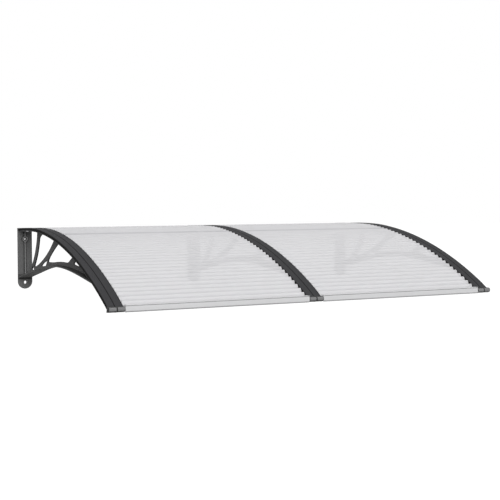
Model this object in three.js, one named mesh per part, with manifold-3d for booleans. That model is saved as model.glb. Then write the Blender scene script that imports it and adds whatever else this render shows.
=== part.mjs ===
// Wall-mounted door canopy: two corrugated polycarbonate panels on three moulded brackets.
// Millimetres, +Z up, +X to the right, the wall at y = 0 and the front edge towards -Y.
// A bracket's side view is drawn as (out, up): distance from the wall and height above the
// top of the wall plate. The finished group is lifted so that its origin lies on the back of
// the middle wall plate, halfway between the two fixing holes.
import * as THREE from 'three';
import { mergeVertices } from 'three/addons/utils/BufferGeometryUtils.js';
import Module from 'manifold-3d';

const wasm = await Module();
wasm.setup();

// Driving dimensions of the canopy
const WIDTH = 1500;
const DEPTH = 997;
const FIT_GAP = 0.3;

// The arch, measured on the upper face of the cover strips
const ARCH_RADIUS = 1633;
const ARCH_APEX_OUT = 158;
const ARCH_APEX_UP = 4.1;
const ARCH_STEPS = 10;

// Corrugated panels, with the waves running from side to side
const WAVE_PITCH = 25.2;
const WAVE_RISE = 4.4;
const SHEET_THICK = 1;
const STEPS_PER_WAVE = 6;
const SHEET_REAR_CLEARANCE = 1.5;
const SHEET_SIDE_CLEARANCE = 4;
const SHEET_GRIP = 6.5;
const SHEET_JOINT = 6;

// Wall plate
const PLATE_WIDTH = 57;
const PLATE_HEIGHT = 236;
const PLATE_THICK = 3.5;
const UPPER_HOLE_DROP = 43;
const UPPER_HOLE_RADIUS = 3;
const LOWER_HOLE_INSET = 25;
const LOWER_SLOT_WIDTH = 9;
const LOWER_SLOT_HEIGHT = 11.5;
const BOSS_RADIUS = 11;
const BOSS_OUT = 10.5;
const COUNTERBORE_RADIUS = 6;
const COUNTERBORE_DEPTH = 2;

// Bracket web and flanges, with the lower arm's drop measured from the arch
const WEB_THICK = 5;
const RIB_OUT = 9.5;
const FLANGE_WIDTH = 50;
const FLANGE_THICK = 3;
const ARM_FLANGE_THICK = 5;
const ARM_REAR_INSET = 42.5;
const ARM_BEND_DROP = 155;
const ARM_RISE_DROP = 103;
const ARM_CREST_DROP = 75.5;
const ARM_FALL_DROP = 54;
const ARM_FRONT_SETBACK = 172;

// Cover strips
const STRIP_WIDTH = 56;
const STRIP_THICK = 2.4;
const STRIP_LIP_DEPTH = 5.3;
const STRIP_LIP_THICK = 2;
const EDGE_ROUND = 0.8;
const GROOVE_WIDTH = 2.4;
const GROOVE_DEPTH = 1;

// Front caps and front bars
const CAP_LENGTH = 21.5;
const CAP_JAW_THICK = 4.6;
const CAP_TOP_ROUND = 6;
const CAP_BOTTOM_ROUND = 4;
const CAP_LIP_THICK = 2.6;
const CAP_SIDE_ROUND = 1.5;
const TONGUE_WIDTH = 8;
const TONGUE_THICK = 2.5;
const TONGUE_LENGTH = 38;
const TONGUE_ROOT = 4;
const TENON_REACH = 16;
const BAR_SETBACK = 2;
const BAR_DRIP = 4.6;
const BAR_WALL = 1.8;
const BAR_ROUND = 3;

// Screws, driven upwards through the arch flange into bosses under the cover strip
const SCREW_COUNT = 4;
const SCREW_REAR_OUT = 80;
const SCREW_FRONT_SETBACK = 107;
const SCREW_OFFSET = 12;
const SHANK_RADIUS = 1.8;
const HEAD_RADIUS = 4;
const HEAD_HEIGHT = 2.4;
const STRIP_BOSS_RADIUS = 4;
const BOSS_CLEARANCE = 0.8;

// Facets of the small round forms
const CURVE_STEPS = 3;
const DISC_STEPS = 8;
const PIN_STEPS = 8;

// Sizes that follow from the driving dimensions
const SPACING = (WIDTH - PLATE_WIDTH) / 2;
const SHEET_HEIGHT = WAVE_RISE + SHEET_THICK;
const SHEET_TOP = STRIP_THICK + FIT_GAP;
const SHEET_BOTTOM = SHEET_TOP + SHEET_HEIGHT;
const FLANGE_TOP = SHEET_BOTTOM + FIT_GAP;
const FLANGE_BOTTOM = FLANGE_TOP + FLANGE_THICK;
const CAP_REAR_OUT = DEPTH - CAP_LENGTH;
const SHEET_REAR_OUT = PLATE_THICK + SHEET_REAR_CLEARANCE;
const SHEET_FRONT_OUT = CAP_REAR_OUT + SHEET_GRIP;
const SHEET_OVERHANG = STRIP_WIDTH / 2 - STRIP_LIP_THICK - SHEET_SIDE_CLEARANCE;
const STRIP_REAR_OUT = PLATE_THICK + FIT_GAP;
const STRIP_FRONT_OUT = CAP_REAR_OUT - FIT_GAP;
const ARM_FRONT_OUT = DEPTH - ARM_FRONT_SETBACK;
const ARCH_CENTRE_UP = ARCH_APEX_UP - ARCH_RADIUS;
const CAP_TOP = archUp(0, CAP_REAR_OUT);
const JAW_TOP = archUp(SHEET_BOTTOM, SHEET_FRONT_OUT) - FIT_GAP;
const CAP_BOTTOM = JAW_TOP - CAP_JAW_THICK;
const CAP_SCREW_OUT = CAP_REAR_OUT - TONGUE_LENGTH / 2;
const BORE_RADIUS = SHANK_RADIUS + FIT_GAP;
const LOWER_HOLE_DROP = PLATE_HEIGHT - LOWER_HOLE_INSET;
const ORIGIN_DROP = (UPPER_HOLE_DROP + LOWER_HOLE_DROP) / 2;

const materials = {
  bracket: { color: 0x46464a, roughness: 0.55, metalness: 0 },
  strip: { color: 0x3c3c40, roughness: 0.5, metalness: 0 },
  cap: { color: 0x505054, roughness: 0.45, metalness: 0 },
  panel: { color: 0xe4e6ea, roughness: 0.35, metalness: 0, transparent: true, opacity: 0.6 },
  bar: { color: 0xd2d3d6, roughness: 0.4, metalness: 0.2 },
  screw: { color: 0x9a9b9f, roughness: 0.35, metalness: 0.9 },
};

// Height of the arch at a distance from the wall, at a depth below the cover strip's upper face
function archUp(depth, out) {
  const radius = ARCH_RADIUS - depth;
  return ARCH_CENTRE_UP + Math.sqrt(radius ** 2 - (out - ARCH_APEX_OUT) ** 2);
}

function archAngle(depth, out) {
  return Math.acos((out - ARCH_APEX_OUT) / (ARCH_RADIUS - depth));
}

// Solids: three.js geometry in, three.js geometry out, with joins and cuts in between
function solid(geometry) {
  const bare = geometry.index ? geometry.toNonIndexed() : geometry.clone();
  bare.deleteAttribute('normal');
  bare.deleteAttribute('uv');
  const merged = mergeVertices(bare, 1e-4);
  const mesh = new wasm.Mesh({
    numProp: 3,
    vertProperties: new Float32Array(merged.attributes.position.array),
    triVerts: new Uint32Array(merged.index.array),
  });
  return new wasm.Manifold(mesh);
}

function toGeometry(body) {
  const mesh = body.getMesh();
  const geometry = new THREE.BufferGeometry();
  geometry.setAttribute('position', new THREE.BufferAttribute(mesh.vertProperties, 3));
  geometry.setIndex(new THREE.BufferAttribute(mesh.triVerts, 1));
  geometry.computeVertexNormals();
  return geometry;
}

function joinAll(bodies) {
  return bodies.reduce((whole, body) => whole.add(body));
}

function cutAll(body, tools) {
  return tools.reduce((rest, tool) => rest.subtract(tool), body);
}

// Turns a side-view outline into a solid that runs across X, centred on centreX
function acrossX(shape, width, { centreX = 0, round = null, steps = ARCH_STEPS } = {}) {
  const ends = round ? round.thick : 0;
  const geometry = new THREE.ExtrudeGeometry(shape, {
    depth: width - 2 * ends,
    curveSegments: steps,
    bevelEnabled: round !== null,
    bevelThickness: ends,
    bevelSize: round ? round.size : 0,
    bevelOffset: round ? -round.size : 0,
    bevelSegments: 1,
  });
  geometry.translate(0, 0, ends - width / 2);
  const toSideView = new THREE.Matrix4().makeBasis(
    new THREE.Vector3(0, -1, 0),
    new THREE.Vector3(0, 0, 1),
    new THREE.Vector3(-1, 0, 0),
  );
  geometry.applyMatrix4(toSideView);
  geometry.translate(centreX, 0, 0);
  return solid(geometry);
}

// Turns a front-view outline in X and Z into a solid that stands out from the wall
function fromWall(shape, reach, startOut = 0) {
  const geometry = new THREE.ExtrudeGeometry(shape, {
    depth: reach,
    curveSegments: DISC_STEPS,
    bevelEnabled: false,
  });
  geometry.rotateX(Math.PI / 2);
  geometry.translate(0, -startOut, 0);
  return solid(geometry);
}

// A turned piece on an axis that stands square to the arch, with the profile's height
// measured downwards from the cover strip's upper face
function onArchAxis(profile, out, x) {
  const points = profile.map(([radius, depth]) => new THREE.Vector2(radius, -depth));
  const geometry = new THREE.LatheGeometry(points, PIN_STEPS);
  const lean = Math.PI / 2 - archAngle(0, out);
  geometry.rotateX(Math.PI / 2 + lean);
  geometry.translate(x, -out, archUp(0, out));
  return solid(geometry);
}

function archPin(radius, topDepth, bottomDepth, out, x) {
  return onArchAxis([[0, bottomDepth], [radius, bottomDepth], [radius, topDepth], [0, topDepth]], out, x);
}

// A band between two depths below the arch, cut upright at both ends
function archBand(topDepth, bottomDepth, rearOut, frontOut) {
  const shape = new THREE.Shape();
  const arc = (depth, from, to, clockwise) => shape.absarc(
    ARCH_APEX_OUT, ARCH_CENTRE_UP, ARCH_RADIUS - depth,
    archAngle(depth, from), archAngle(depth, to), clockwise,
  );
  arc(topDepth, rearOut, frontOut, true);
  arc(bottomDepth, frontOut, rearOut, false);
  shape.closePath();
  return shape;
}

// A closed outline with its corners rounded by the given lengths, which are cut back to half
// of an edge where they are longer, so that a large value gives one smooth curve
function roundedOutline(corners) {
  const shape = new THREE.Shape();
  const points = corners.map(([out, up]) => new THREE.Vector2(out, up));
  points.forEach((corner, i) => {
    const before = points.at(i - 1);
    const after = points[(i + 1) % points.length];
    const round = corners[i][2] ?? 0;
    const along = (other) => {
      const length = corner.distanceTo(other);
      return corner.clone().lerp(other, Math.min(round / length, 0.5));
    };
    const start = along(before);
    const end = along(after);
    if (i === 0) shape.moveTo(start.x, start.y);
    else shape.lineTo(start.x, start.y);
    if (round > 0) shape.quadraticCurveTo(corner.x, corner.y, end.x, end.y);
  });
  shape.closePath();
  return shape;
}

// Underside of the lower arm: straight from the wall plate, over a low crest, then down to the
// arch. A point is placed by its share of the arm's reach and its drop below the arch.
function armUnderside() {
  const at = (share, drop) => [share * ARM_FRONT_OUT, archUp(drop, share * ARM_FRONT_OUT)];
  const path = new THREE.Path();
  path.moveTo(0, ARM_REAR_INSET - PLATE_HEIGHT);
  path.lineTo(...at(0.252, ARM_BEND_DROP));
  path.quadraticCurveTo(...at(0.468, ARM_RISE_DROP), ...at(0.68, ARM_CREST_DROP));
  path.quadraticCurveTo(...at(0.79, ARM_FALL_DROP), ...at(1, FLANGE_TOP + ARM_FLANGE_THICK));
  return path.getPoints(3 * CURVE_STEPS);
}

function armFlangeOutline() {
  const under = armUnderside();
  const over = under.map((point) => new THREE.Vector2(point.x, point.y + ARM_FLANGE_THICK));
  return new THREE.Shape([...under, ...over.reverse()]);
}

function webOutline() {
  const insideFlange = (FLANGE_TOP + FLANGE_BOTTOM) / 2;
  const shape = new THREE.Shape(armUnderside());
  shape.absarc(
    ARCH_APEX_OUT, ARCH_CENTRE_UP, ARCH_RADIUS - insideFlange,
    archAngle(insideFlange, ARM_FRONT_OUT), archAngle(insideFlange, 0), false,
  );
  shape.closePath();
  return shape;
}

// The openings between the curved spokes. A corner is placed by its share of the arm's reach and
// of the height from the arm's flange, at 0, to the arch's flange, at 1, followed by its rounding.
// An opening that ends at the arch runs on past 1, where only the flange is left.
const SMOOTH = Infinity;
const webOpenings = [
  [[0, 1.15], [0.197, 1.12], [0.201, 0.861, SMOOTH], [0.167, 0.475, SMOOTH],
    [0.127, 0.234, SMOOTH], [0.079, 0.083, SMOOTH], [0, 0.05, 4]],
  [[0.301, 1.17], [0.293, 1.01], [0.234, 0.842, 8], [0.22, 0.612, SMOOTH], [0.197, 0.378, SMOOTH],
    [0.15, 0.128, 6], [0.205, 0.12, SMOOTH], [0.323, 0.305, SMOOTH], [0.411, 0.644, SMOOTH],
    [0.512, 1.43]],
  [[0.567, 1.16], [0.481, 0.735, SMOOTH], [0.374, 0.264, SMOOTH], [0.357, 0.135, 9],
    [0.433, 0.105, SMOOTH], [0.531, 0.158, SMOOTH], [0.637, 0.194, 14], [0.7, 0.684, SMOOTH],
    [0.78, 2]],
  [[0.108, 0.077, 3], [0.152, 0.047, 3], [0.124, 0.158, 3]],
  [[0.26, 0.068, 4], [0.323, 0.021, 5], [0.349, 0.176, 4], [0.297, 0.148, SMOOTH]],
  [[0.711, 0.267, 5], [0.913, 0.932, 3], [0.939, 3], [0.769, 1.18]],
];

function openingOutline(corners) {
  const under = armUnderside();
  return roundedOutline(corners.map(([reachShare, heightShare, round]) => {
    const out = RIB_OUT + reachShare * (ARM_FRONT_OUT - RIB_OUT);
    const next = under.findIndex((point) => point.x > out);
    const [a, b] = under.slice(next - 1, next + 1);
    const low = THREE.MathUtils.mapLinear(out, a.x, b.x, a.y, b.y) + ARM_FLANGE_THICK;
    return [out, THREE.MathUtils.lerp(low, archUp(FLANGE_BOTTOM, out), heightShare), round];
  }));
}

function plateOutline() {
  const half = PLATE_WIDTH / 2;
  const shape = new THREE.Shape();
  shape.moveTo(half, 0);
  shape.lineTo(-half, 0);
  shape.lineTo(-half, half - PLATE_HEIGHT);
  shape.absarc(0, half - PLATE_HEIGHT, half, Math.PI, 2 * Math.PI, false);
  shape.closePath();
  return shape;
}

function disc(radius, drop) {
  return new THREE.Shape().absarc(0, -drop, radius, 0, 2 * Math.PI, false);
}

function slotOutline() {
  const radius = LOWER_SLOT_WIDTH / 2;
  const reach = (LOWER_SLOT_HEIGHT - LOWER_SLOT_WIDTH) / 2;
  const shape = new THREE.Shape();
  shape.absarc(0, reach - LOWER_HOLE_DROP, radius, 0, Math.PI, false);
  shape.absarc(0, -reach - LOWER_HOLE_DROP, radius, Math.PI, 2 * Math.PI, false);
  shape.closePath();
  return shape;
}

// Screw places along one bracket, left and right of the web in turn
function screwPlaces() {
  const pitch = (DEPTH - SCREW_FRONT_SETBACK - SCREW_REAR_OUT) / (SCREW_COUNT - 1);
  return Array.from({ length: SCREW_COUNT }, (_, i) => ({
    out: SCREW_REAR_OUT + i * pitch,
    x: i % 2 === 0 ? -SCREW_OFFSET : SCREW_OFFSET,
  }));
}

// One moulded bracket, with its web in the plane x = 0
function bracketBody() {
  const web = cutAll(
    acrossX(webOutline(), WEB_THICK),
    webOpenings.map((corners) => (
      acrossX(openingOutline(corners), 2 * WEB_THICK, { steps: CURVE_STEPS })
    )),
  );
  const plate = fromWall(plateOutline(), PLATE_THICK);
  const boss = fromWall(disc(BOSS_RADIUS, UPPER_HOLE_DROP), BOSS_OUT);
  const archFlange = acrossX(archBand(FLANGE_TOP, FLANGE_BOTTOM, 0, CAP_REAR_OUT), FLANGE_WIDTH);
  const armFlange = acrossX(armFlangeOutline(), FLANGE_WIDTH);
  const holes = [
    fromWall(disc(UPPER_HOLE_RADIUS, UPPER_HOLE_DROP), 2 * BOSS_OUT, -PLATE_THICK),
    fromWall(disc(COUNTERBORE_RADIUS, UPPER_HOLE_DROP), BOSS_OUT, BOSS_OUT - COUNTERBORE_DEPTH),
    fromWall(slotOutline(), 3 * PLATE_THICK, -PLATE_THICK),
    ...[{ out: CAP_SCREW_OUT, x: 0 }, ...screwPlaces()].map(({ out, x }) => (
      archPin(BORE_RADIUS, 0, 2 * FLANGE_BOTTOM, out, x)
    )),
  ];
  return cutAll(joinAll([plate, boss, archFlange, armFlange, web]), holes);
}

// A cover strip; side is -1 or 1 where an outer lip closes the end of the canopy, 0 for none
function stripBody(side) {
  const round = { thick: EDGE_ROUND, size: EDGE_ROUND };
  const top = acrossX(archBand(0, STRIP_THICK, STRIP_REAR_OUT, STRIP_FRONT_OUT), STRIP_WIDTH, { round });
  const pieces = [top];
  if (side !== 0) {
    const lipX = side * (STRIP_WIDTH - STRIP_LIP_THICK) / 2;
    const lip = archBand(STRIP_THICK / 2, STRIP_LIP_DEPTH, STRIP_REAR_OUT, STRIP_FRONT_OUT);
    pieces.push(acrossX(lip, STRIP_LIP_THICK, { centreX: lipX }));
  }
  for (const { out, x } of screwPlaces()) {
    pieces.push(archPin(STRIP_BOSS_RADIUS, STRIP_THICK / 2, SHEET_BOTTOM, out, x));
  }
  const groove = acrossX(archBand(-GROOVE_DEPTH, GROOVE_DEPTH, 0, DEPTH), GROOVE_WIDTH);
  const bores = screwPlaces().map(({ out, x }) => (
    archPin(BORE_RADIUS, STRIP_THICK - FIT_GAP, 2 * FLANGE_BOTTOM, out, x)
  ));
  return cutAll(joinAll(pieces), [groove, ...bores]);
}

function screwBody(out, x, headDepth, tipDepth) {
  const neck = headDepth + FIT_GAP;
  return onArchAxis([
    [0, neck + HEAD_HEIGHT],
    [0.7 * HEAD_RADIUS, neck + HEAD_HEIGHT],
    [HEAD_RADIUS, neck + 0.4 * HEAD_HEIGHT],
    [HEAD_RADIUS, neck],
    [SHANK_RADIUS, neck],
    [SHANK_RADIUS, tipDepth],
    [0, tipDepth],
  ], out, x);
}

// The nose at the front of a bracket, with a slot at the back for the panels' front edge
function capOutline(inset) {
  const front = DEPTH - inset;
  const top = CAP_TOP - inset;
  const blockRear = SHEET_FRONT_OUT + FIT_GAP;
  return roundedOutline([
    [CAP_REAR_OUT, top],
    [front, top, CAP_TOP_ROUND],
    [front, CAP_BOTTOM, CAP_BOTTOM_ROUND],
    [CAP_REAR_OUT + FIT_GAP, CAP_BOTTOM],
    [CAP_REAR_OUT + FIT_GAP, JAW_TOP],
    [blockRear, JAW_TOP],
    [blockRear, CAP_TOP - CAP_LIP_THICK],
    [CAP_REAR_OUT, CAP_TOP - CAP_LIP_THICK],
  ]);
}

function tenonOutline() {
  const rear = SHEET_FRONT_OUT + 2 * FIT_GAP;
  const front = DEPTH - BAR_SETBACK - BAR_WALL - FIT_GAP;
  const top = CAP_TOP - CAP_LIP_THICK - FIT_GAP;
  const bottom = JAW_TOP + FIT_GAP;
  return roundedOutline([[rear, bottom], [front, bottom], [front, top], [rear, top]]);
}

// sides lists -1 and 1 for the sides on which a front bar is plugged in
function capBody(sides) {
  const round = { thick: CAP_SIDE_ROUND, size: CAP_SIDE_ROUND / 2 };
  const body = acrossX(capOutline(0), STRIP_WIDTH, { round, steps: CURVE_STEPS });
  const slab = acrossX(archBand(-STRIP_WIDTH, STRIP_WIDTH, CAP_REAR_OUT - STRIP_WIDTH, DEPTH), GROOVE_WIDTH);
  const halves = body.subtract(slab);
  const tongueRear = CAP_REAR_OUT - TONGUE_LENGTH;
  const tongueTop = FLANGE_BOTTOM + FIT_GAP;
  const tongue = archBand(tongueTop, tongueTop + TONGUE_THICK, tongueRear, CAP_REAR_OUT + TONGUE_ROOT);
  const pieces = [
    halves,
    acrossX(capOutline(GROOVE_DEPTH), GROOVE_WIDTH, { steps: CURVE_STEPS }),
    acrossX(tongue, TONGUE_WIDTH),
  ];
  for (const side of sides) {
    const middle = side * (STRIP_WIDTH / 2 + (TENON_REACH - STRIP_WIDTH / 4) / 2);
    pieces.push(acrossX(tenonOutline(), TENON_REACH + STRIP_WIDTH / 4, { centreX: middle }));
  }
  const hole = archPin(BORE_RADIUS, 0, 3 * FLANGE_BOTTOM, CAP_SCREW_OUT, 0);
  return joinAll(pieces).subtract(hole);
}

// Front bar: a channel that closes the panel's front edge, with a drip edge below its jaw
function barOutline() {
  const front = DEPTH - BAR_SETBACK;
  const wall = front - BAR_WALL;
  const rear = CAP_REAR_OUT + FIT_GAP;
  const top = CAP_TOP - FIT_GAP;
  const bottom = JAW_TOP - BAR_WALL - BAR_DRIP;
  return roundedOutline([
    [rear, top],
    [front, top, BAR_ROUND],
    [front, bottom],
    [wall, bottom],
    [wall, JAW_TOP - BAR_WALL],
    [rear, JAW_TOP - BAR_WALL],
    [rear, JAW_TOP],
    [wall, JAW_TOP],
    [wall, top - BAR_WALL],
    [rear, top - BAR_WALL],
  ]);
}

function barBody() {
  return acrossX(barOutline(), SPACING - STRIP_WIDTH - 2 * FIT_GAP, { steps: CURVE_STEPS });
}

// The wavy section of a panel, drawn along the arch from the wall to the front edge
function panelOutline() {
  const middleRadius = ARCH_RADIUS - (SHEET_TOP + SHEET_BOTTOM) / 2;
  const angle = (out) => Math.asin((out - ARCH_APEX_OUT) / middleRadius);
  const start = angle(SHEET_REAR_OUT);
  const end = angle(SHEET_FRONT_OUT);
  const steps = Math.round((end - start) * middleRadius / WAVE_PITCH * STEPS_PER_WAVE);
  const face = (offset) => Array.from({ length: steps + 1 }, (_, i) => {
    const turn = start + (end - start) * i / steps;
    const phase = 2 * Math.PI * turn * middleRadius / WAVE_PITCH;
    const radius = middleRadius + offset + WAVE_RISE / 2 * Math.cos(phase);
    return new THREE.Vector2(
      ARCH_APEX_OUT + radius * Math.sin(turn),
      ARCH_CENTRE_UP + radius * Math.cos(turn),
    );
  });
  return new THREE.Shape([...face(-SHEET_THICK / 2), ...face(SHEET_THICK / 2).reverse()]);
}

// The panel to one side of the middle bracket, with clearance holes round the strip's bosses
function panelBody(side) {
  const length = SPACING + SHEET_OVERHANG - SHEET_JOINT / 2;
  const sheet = acrossX(panelOutline(), length, { centreX: side * (SHEET_JOINT + length) / 2 });
  const holes = [0, side * SPACING].flatMap((bracketX) => screwPlaces().map(({ out, x }) => (
    archPin(STRIP_BOSS_RADIUS + BOSS_CLEARANCE, 0, FLANGE_BOTTOM, out, bracketX + x)
  )));
  return cutAll(sheet, holes);
}

function place(parent, name, body, material, x = 0) {
  const mesh = new THREE.Mesh(toGeometry(body), new THREE.MeshStandardMaterial(materials[material]));
  mesh.name = name;
  mesh.position.x = x;
  parent.add(mesh);
}

const canopy = new THREE.Group();
canopy.position.z = ORIGIN_DROP;

const stations = [
  { name: 'left', side: -1, bars: [1] },
  { name: 'middle', side: 0, bars: [-1, 1] },
  { name: 'right', side: 1, bars: [-1] },
];
for (const { name, side, bars } of stations) {
  const x = side * SPACING;
  place(canopy, `bracket_${name}`, bracketBody(), 'bracket', x);
  place(canopy, `cover_strip_${name}`, stripBody(side), 'strip', x);
  place(canopy, `front_cap_${name}`, capBody(bars), 'cap', x);
  screwPlaces().forEach((screw, i) => {
    const body = screwBody(screw.out, screw.x, FLANGE_BOTTOM, STRIP_THICK + FIT_GAP);
    place(canopy, `strip_screw_${name}_${i + 1}`, body, 'screw', x);
  });
  const capScrewHead = FLANGE_BOTTOM + FIT_GAP + TONGUE_THICK;
  place(canopy, `cap_screw_${name}`, screwBody(CAP_SCREW_OUT, 0, capScrewHead, FLANGE_TOP), 'screw', x);
}
for (const [name, side] of [['left', -1], ['right', 1]]) {
  place(canopy, `panel_${name}`, panelBody(side), 'panel');
  place(canopy, `front_bar_${name}`, barBody(), 'bar', side * SPACING / 2);
}

export default canopy;
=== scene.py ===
# %% [markdown]
# # A corrugated door canopy
#
# Two translucent corrugated panels lie on three dark moulded brackets that screw to a wall above a
# door. A cover strip clamps the panels on each bracket, a rounded cap closes each strip in front,
# and a pale bar runs along the front edge of each panel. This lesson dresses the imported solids:
# each one is replaced by a smoother skin at the same place and size, with a finish of its own.

# %% Load the frame
import math

import bmesh
import bpy
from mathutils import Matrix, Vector


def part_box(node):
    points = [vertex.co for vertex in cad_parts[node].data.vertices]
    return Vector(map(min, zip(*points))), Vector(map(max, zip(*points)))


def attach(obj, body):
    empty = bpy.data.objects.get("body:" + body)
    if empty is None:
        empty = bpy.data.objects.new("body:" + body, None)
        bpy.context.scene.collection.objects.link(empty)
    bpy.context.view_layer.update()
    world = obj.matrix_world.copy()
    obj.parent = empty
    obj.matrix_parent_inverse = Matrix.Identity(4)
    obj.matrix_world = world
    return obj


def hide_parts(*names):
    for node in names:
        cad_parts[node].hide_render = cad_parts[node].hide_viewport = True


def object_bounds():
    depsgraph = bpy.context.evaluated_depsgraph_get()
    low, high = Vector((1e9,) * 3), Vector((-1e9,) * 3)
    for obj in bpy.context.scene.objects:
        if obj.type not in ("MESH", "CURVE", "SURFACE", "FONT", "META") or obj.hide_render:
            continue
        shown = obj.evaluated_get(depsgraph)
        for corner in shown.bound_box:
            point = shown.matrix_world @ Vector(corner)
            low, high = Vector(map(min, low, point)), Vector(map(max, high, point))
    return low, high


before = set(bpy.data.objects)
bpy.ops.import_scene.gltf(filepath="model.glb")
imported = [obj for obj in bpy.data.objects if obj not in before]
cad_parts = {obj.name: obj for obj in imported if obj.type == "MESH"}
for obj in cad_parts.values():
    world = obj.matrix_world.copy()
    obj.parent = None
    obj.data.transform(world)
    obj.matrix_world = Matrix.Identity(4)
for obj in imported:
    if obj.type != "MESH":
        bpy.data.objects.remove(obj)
cad_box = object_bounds()
print("solids in the frame:", len(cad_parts))

# %% [markdown]
# ## Camera
#
# The picture was taken from the front left, a little above the canopy, with a long lens. The
# place and the lens follow from the known shape: the edges of the three arches, their spacing and
# the plate on the left were fitted together. The camera stands where the fit puts it.

# %% Camera
CAMERA_PLACE = (-1.9526, -4.2215, 0.2742)
CAMERA_TURN = math.radians(-27.73)
CAMERA_DIP = math.radians(3.0955)
CAMERA_LENS = 80.06

camera = bpy.data.objects.new("photo_camera", bpy.data.cameras.new("photo_camera"))
camera.data.lens = CAMERA_LENS
camera.location = CAMERA_PLACE
camera.rotation_euler = (math.pi / 2 - CAMERA_DIP, 0, CAMERA_TURN)
bpy.context.scene.collection.objects.link(camera)
bpy.context.scene.camera = camera
print("camera lens:", CAMERA_LENS, "mm")

# %% [markdown]
# ## Shader maths as Python
#
# A finish is a small graph of nodes. Wrapping a socket in a class with operators lets the graph
# be written as expressions: adding, subtracting and multiplying values adds the Math nodes. All
# other nodes come from one method, which takes the node's type, its settings and its inputs, and
# short methods stand for the nodes that are used most.

# %% A socket with operators
class Value:
    """An output socket of a finish, usable in sums and products with numbers and other values."""

    def __init__(self, tree, socket):
        self.tree = tree
        self.socket = socket

    def node(self, kind, settings=None, inputs=None, output=0):
        made = self.tree.nodes.new("ShaderNode" + kind)
        for name, setting in (settings or {}).items():
            setattr(made, name, setting)
        for name, value in (inputs or {}).items():
            if isinstance(value, Value):
                self.tree.links.new(value.socket, made.inputs[name])
            else:
                made.inputs[name].default_value = value
        return Value(self.tree, made.outputs[output]) if made.outputs else made

    def maths(self, operation, first, second=0.0):
        return self.node("Math", {"operation": operation}, {0: first, 1: second})

    def place(self):
        """The point's place in metres, along the piece's own axes."""
        return self.node("TexCoord", output=3)

    def normal(self):
        """The direction that the surface faces, along the piece's own axes."""
        return self.node("TexCoord", output=1)

    def part(self, vector, axis):
        return self.node("SeparateXYZ", inputs={0: vector}, output=axis)

    def stretched(self, vector, factors):
        return self.node("VectorMath", {"operation": "MULTIPLY"}, {0: vector, 1: factors})

    def noise(self, vector, scale, detail):
        return self.node("TexNoise", inputs={"Vector": vector, "Scale": scale, "Detail": detail})

    def mix(self, factor, first, second):
        """A colour between two others."""
        return self.node("Mix", {"data_type": "RGBA"}, {"Factor": factor, 6: first, 7: second}, output=2)

    def __add__(self, other):
        return self.maths("ADD", self, other)

    __radd__ = __add__

    def __sub__(self, other):
        return self.maths("SUBTRACT", self, other)

    def __rsub__(self, other):
        return self.maths("SUBTRACT", other, self)

    def __mul__(self, other):
        return self.maths("MULTIPLY", self, other)

    def __abs__(self):
        return self.maths("ABSOLUTE", self)


def grey(level):
    return (level, level, level, 1.0)


def new_finish(name):
    material = bpy.data.materials.new(name)
    material.use_nodes = True
    material.node_tree.nodes.clear()
    return material, Value(material.node_tree, None)


def show(make, shader):
    make.node("OutputMaterial", inputs={"Surface": shader})


print("shader helper ready")

# %% [markdown]
# ## Floor
#
# The picture is a studio shot on white. A large floor lies well below the canopy, as the ground
# lies below a door's head. Only a part of its white is its own glow, and only rays that show the
# floor itself see that glow. So it looks white, still takes the canopy's shadow and doesn't light
# the canopy from below.

# %% Floor
FLOOR_DROP = 2.2
FLOOR_REACH = 60.0
FLOOR_TONE = 0.22
FLOOR_SPECKLE = 0.02
SPECKLE_SCALE = 3.0
FLOOR_GLOW = 0.82


def looking(make):
    """1 for rays that show the surround itself: seen directly, in a reflection or through a sheet."""
    rays = make.node("LightPath").socket.node.outputs
    kinds = [Value(make.tree, rays[f"Is {kind} Ray"]) for kind in ("Camera", "Glossy", "Transmission")]
    return make.maths("MAXIMUM", make.maths("MAXIMUM", kinds[0], kinds[1]), kinds[2])


floor_material, make = new_finish("pale_floor")
speckle = make.node("TexNoise", inputs={"Scale": SPECKLE_SCALE, "Detail": 2.0})
tone = make.mix(speckle, grey(FLOOR_TONE), grey(FLOOR_TONE + FLOOR_SPECKLE))
matt = make.node("BsdfDiffuse", inputs={"Color": tone})
glow = make.node("Emission", inputs={"Color": grey(1.0), "Strength": looking(make) * FLOOR_GLOW})
show(make, make.node("AddShader", inputs={0: matt, 1: glow}))

floor_mesh = bpy.data.meshes.new("floor")
corners = [(-1, -1), (1, -1), (1, 1), (-1, 1)]
floor_mesh.from_pydata([(x * FLOOR_REACH, y * FLOOR_REACH, 0) for x, y in corners], [], [(0, 1, 2, 3)])
floor = bpy.data.objects.new("floor", floor_mesh)
floor.location.z = -FLOOR_DROP
floor_mesh.materials.append(floor_material)
bpy.context.scene.collection.objects.link(floor)
print("floor", FLOOR_DROP, "m below the canopy")

# %% [markdown]
# ## Surround
#
# The studio's light is soft and even. A white surround gives most of it, weaker as a lamp than it
# looks, so that the lamps can still shape the canopy.

# %% Surround
SURROUND_LEVEL = 0.42

world = bpy.data.worlds.new("white_surround")
world.use_nodes = True
world.node_tree.nodes.clear()
make = Value(world.node_tree, None)
level = SURROUND_LEVEL + looking(make) * (1.0 - SURROUND_LEVEL)
surround = make.node("Background", inputs={"Color": grey(1.0), "Strength": level})
make.node("OutputWorld", inputs={"Surface": surround})
bpy.context.scene.world = world
bpy.context.scene.view_settings.view_transform = "Standard"
print("surround:", world.name)

# %% [markdown]
# ## Lamps
#
# Two suns with a wide spread stand for large soft boxes, a stronger one at the front left and a
# weaker one above. A sun lights all of a wide object alike, where a near lamp would fade along it.

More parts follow.
